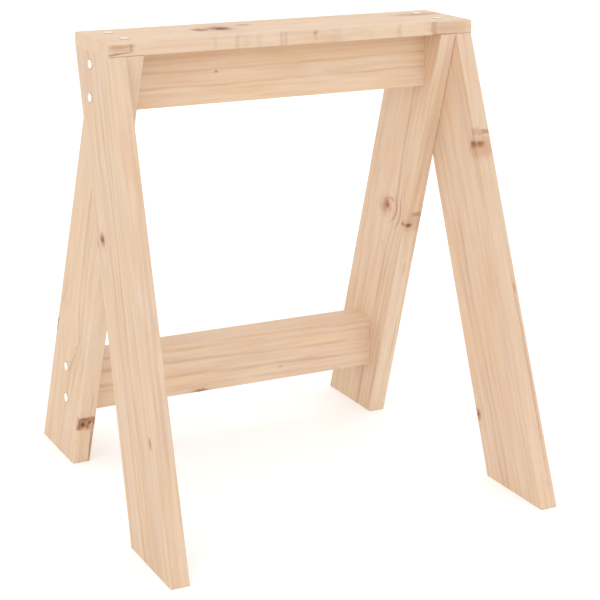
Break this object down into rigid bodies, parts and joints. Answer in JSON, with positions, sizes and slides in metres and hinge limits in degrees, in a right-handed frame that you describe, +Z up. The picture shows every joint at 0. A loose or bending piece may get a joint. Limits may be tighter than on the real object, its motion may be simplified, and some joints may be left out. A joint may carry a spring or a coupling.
{
  "type": "sawhorse",
  "caption": "Low timber sawhorse with crossed, lapped board legs, a flat top board, a rail under it and a rear stretcher; capped screws.",
  "frame": {"origin": "centre of the footprint, on the floor under the middle of the top board", "axes": "+X along the top board to the right, -Y to the front, +Z up; the stretcher is at the rear, on the +Y side"},
  "size_m": [0.5558, 0.4378, 0.6009],
  "materials": {
    "pine_top": "bare planed pine, straight grain",
    "pine_leg": "bare planed pine with a few knots",
    "pine_rail": "bare planed pine, straight grain",
    "screw": "bright zinc",
    "cap": "off-white moulded plastic, satin"
  },
  "bodies": {
    "root": {"top_board": "pine_top", "front_left_leg": "pine_leg", "front_right_leg": "pine_leg", "rear_left_leg": "pine_leg", "rear_right_leg": "pine_leg", "top_rail": "pine_rail", "lower_stretcher": "pine_rail", "top_screws_left": "screw", "top_screws_right": "screw", "rail_screws_left": "screw", "rail_screws_right": "screw", "stretcher_screws_left": "screw", "stretcher_screws_right": "screw", "top_caps_left": "cap", "top_caps_right": "cap", "rail_caps_left": "cap", "rail_caps_right": "cap", "stretcher_caps_left": "cap", "stretcher_caps_right": "cap"}
  },
  "joints": []
}
